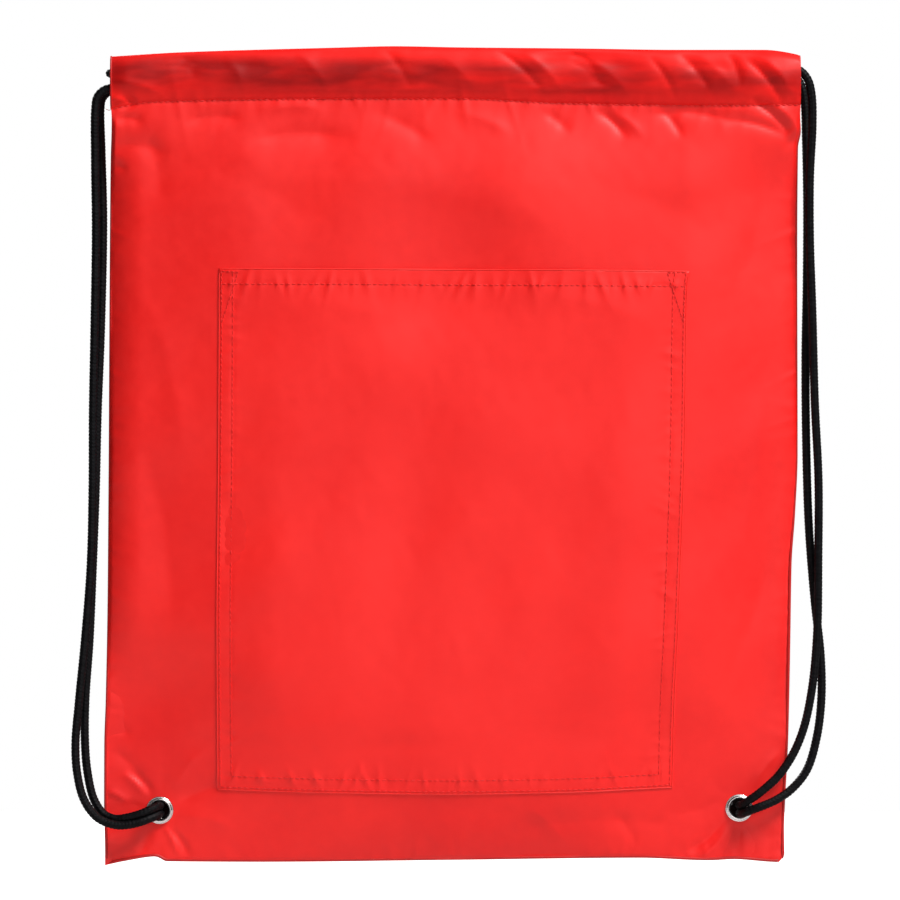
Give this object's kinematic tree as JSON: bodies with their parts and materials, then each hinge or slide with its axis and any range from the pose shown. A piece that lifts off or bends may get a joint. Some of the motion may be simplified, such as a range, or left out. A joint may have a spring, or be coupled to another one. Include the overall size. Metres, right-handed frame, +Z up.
{
  "type": "drawstring backpack",
  "caption": "Flat drawstring backpack of satin cloth with a stitched front patch pocket, corded mouth, and metal eyelets in its bottom corners.",
  "frame": {"origin": "middle of the rear casing's flat outer face, where the bag is held up", "axes": "+X to the viewer's right, +Y out of the back, +Z up towards the mouth; the front faces -Y"},
  "size_m": [0.3928, 0.0349, 0.4243],
  "materials": {
    "red_satin": "satin",
    "black_cord": "matte",
    "nickel": "gloss"
  },
  "bodies": {
    "bag": {"front_panel": "red_satin", "back_panel": "red_satin", "front_pocket": "red_satin", "pocket_hem": "red_satin", "front_channel": "red_satin", "back_channel": "red_satin", "left_side_seam": "red_satin", "right_side_seam": "red_satin", "bottom_seam": "red_satin", "left_eyelet": "nickel", "right_eyelet": "nickel", "left_eyelet_washer": "nickel", "right_eyelet_washer": "nickel", "left_cord_front_strand": "black_cord", "left_cord_front_run": "black_cord", "left_cord_back_strand": "black_cord", "left_cord_back_run": "black_cord", "left_cord_knot": "black_cord", "right_cord_front_strand": "black_cord", "right_cord_front_run": "black_cord", "right_cord_back_strand": "black_cord", "right_cord_back_run": "black_cord", "right_cord_knot": "black_cord"},
    "left_corner": {"left_front_slit_hem": "red_satin", "left_back_slit_hem": "red_satin", "right_cord_bight": "black_cord"},
    "right_corner": {"right_front_slit_hem": "red_satin", "right_back_slit_hem": "red_satin", "left_cord_bight": "black_cord"}
  },
  "joints": [
    {"name": "left_corner_draw", "type": "slide", "parent": "bag", "child": "left_corner", "axis": [1, 0, 0], "range_m": [0, 0.1], "deforming": ["front_channel", "back_channel", "left_cord_front_run", "left_cord_back_run", "right_cord_front_run", "right_cord_back_run", "left_cord_front_strand", "left_cord_back_strand"]},
    {"name": "right_corner_draw", "type": "slide", "parent": "bag", "child": "right_corner", "axis": [-1, 0, 0], "range_m": [0, 0.1], "deforming": ["front_channel", "back_channel", "left_cord_front_run", "left_cord_back_run", "right_cord_front_run", "right_cord_back_run", "right_cord_front_strand", "right_cord_back_strand"]}
  ]
}
